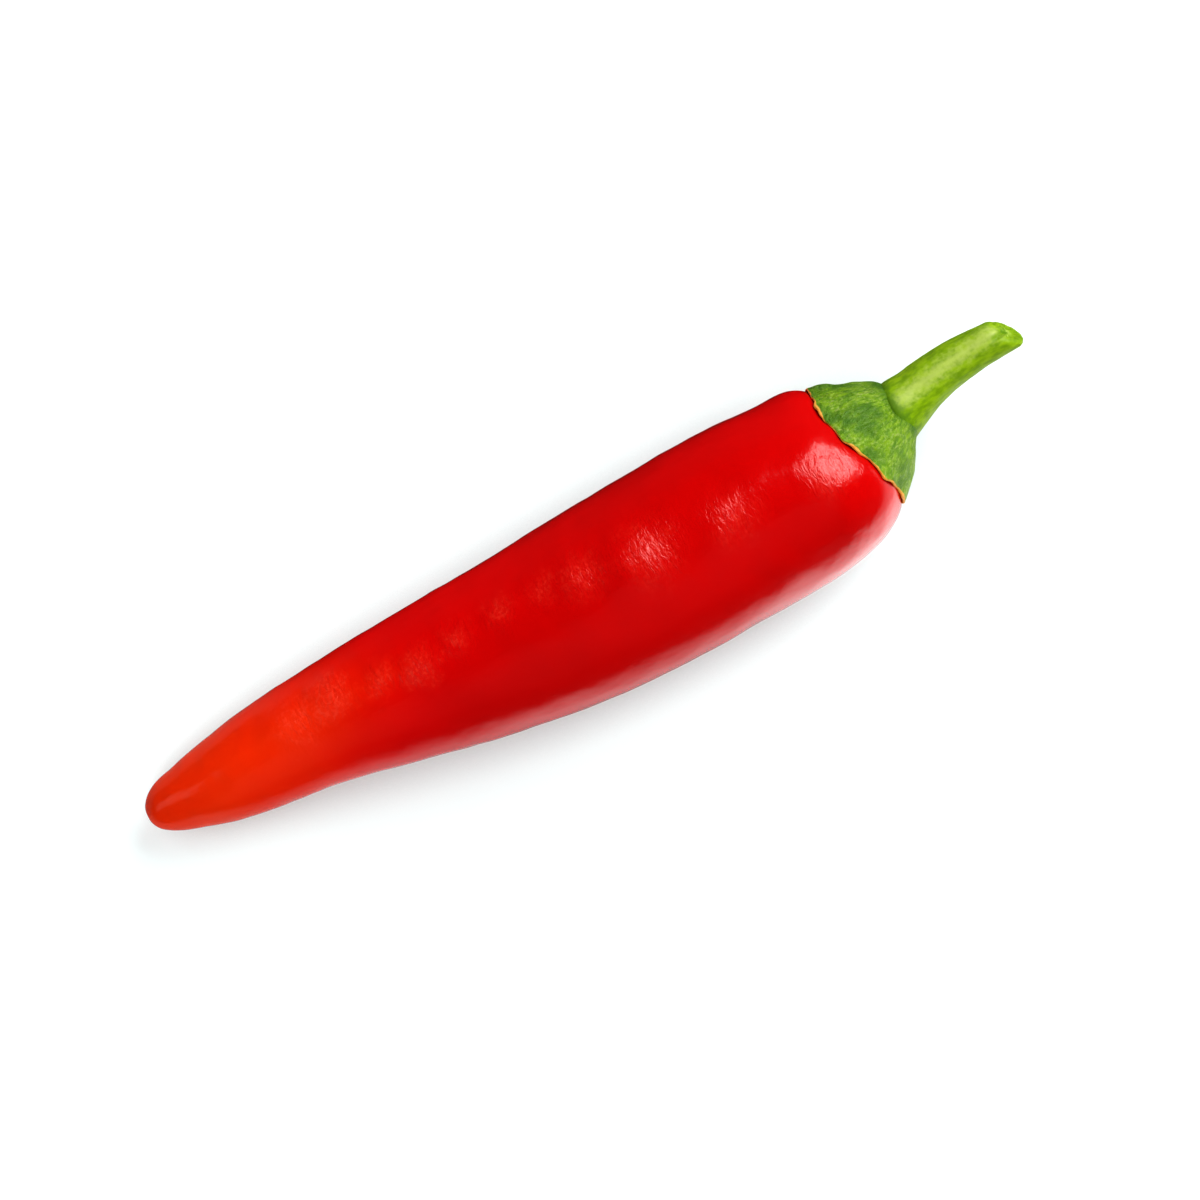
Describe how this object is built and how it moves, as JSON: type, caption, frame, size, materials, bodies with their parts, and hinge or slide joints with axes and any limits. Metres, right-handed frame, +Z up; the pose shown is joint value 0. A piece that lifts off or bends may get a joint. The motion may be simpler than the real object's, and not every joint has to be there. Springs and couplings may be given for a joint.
{
  "type": "chilli pepper",
  "caption": "Fresh red chilli pepper lying on its side: a bent, tapering pod with a green calyx and a short cut stalk.",
  "frame": {"origin": "centre of the bounding box's bottom, on the surface that the chilli lies on", "axes": "+X along the fruit, from the tip towards the stalk; +Z up from the surface it lies on; +Y to the left, seen from above with the stalk ahead"},
  "size_m": [0.0938, 0.0184, 0.0182],
  "materials": {
    "chilli_red": "glossy waxy skin, stands in for fruit skin",
    "calyx_green": "satin leafy green, stands in for plant tissue",
    "stalk_green": "satin yellow-green, stands in for plant tissue"
  },
  "bodies": {
    "root": {"pod": "chilli_red", "calyx": "calyx_green", "stalk": "stalk_green"}
  },
  "joints": []
}
